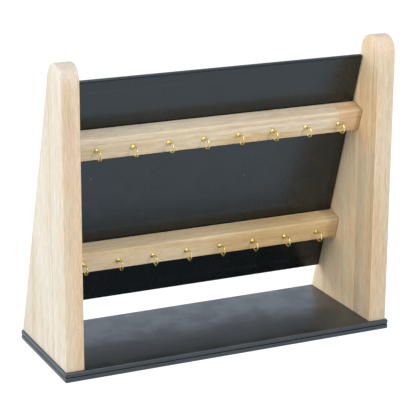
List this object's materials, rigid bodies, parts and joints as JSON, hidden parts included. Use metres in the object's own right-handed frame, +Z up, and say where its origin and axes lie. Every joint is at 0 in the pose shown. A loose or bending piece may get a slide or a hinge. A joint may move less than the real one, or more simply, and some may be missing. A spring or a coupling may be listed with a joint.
{
  "type": "necklace display",
  "caption": "Open necklace display: wooden side panels on a covered base, a covered back board that leans between them, and two wooden rails with brass cup hooks.",
  "frame": {"origin": "middle of the underside of the base, on the surface that it stands on", "axes": "+X along the rails, -Y towards the user, +Z up"},
  "size_m": [0.3792, 0.1378, 0.3269],
  "materials": {
    "panel_wood": "satin",
    "rail_wood": "satin",
    "dowel_wood": "matte",
    "fibreboard": "matte",
    "filler_card": "matte",
    "leatherette": "satin",
    "hook_brass": "polished",
    "pin_steel": "plain",
    "screw_steel": "zinc plated"
  },
  "bodies": {
    "root": {"upper_base_core": "fibreboard", "lower_base_core": "fibreboard", "back_board_core": "fibreboard", "upper_base_covering": "leatherette", "lower_base_covering": "leatherette", "back_board_covering": "leatherette", "back_board_facing": "leatherette", "base_filler_card": "filler_card", "upper_rail": "rail_wood", "lower_rail": "rail_wood", "left_front_stave": "panel_wood", "left_rear_stave": "panel_wood", "left_rail_dowels": "dowel_wood", "left_board_pins": "pin_steel", "left_panel_screws": "screw_steel", "right_front_stave": "panel_wood", "right_rear_stave": "panel_wood", "right_rail_dowels": "dowel_wood", "right_board_pins": "pin_steel", "right_panel_screws": "screw_steel", "upper_hook_1": "hook_brass", "upper_hook_2": "hook_brass", "upper_hook_3": "hook_brass", "upper_hook_4": "hook_brass", "upper_hook_5": "hook_brass", "upper_hook_6": "hook_brass", "upper_hook_7": "hook_brass", "upper_hook_8": "hook_brass", "upper_hook_collars": "hook_brass", "lower_hook_1": "hook_brass", "lower_hook_2": "hook_brass", "lower_hook_3": "hook_brass", "lower_hook_4": "hook_brass", "lower_hook_5": "hook_brass", "lower_hook_6": "hook_brass", "lower_hook_7": "hook_brass", "lower_hook_8": "hook_brass", "lower_hook_collars": "hook_brass"}
  },
  "joints": []
}
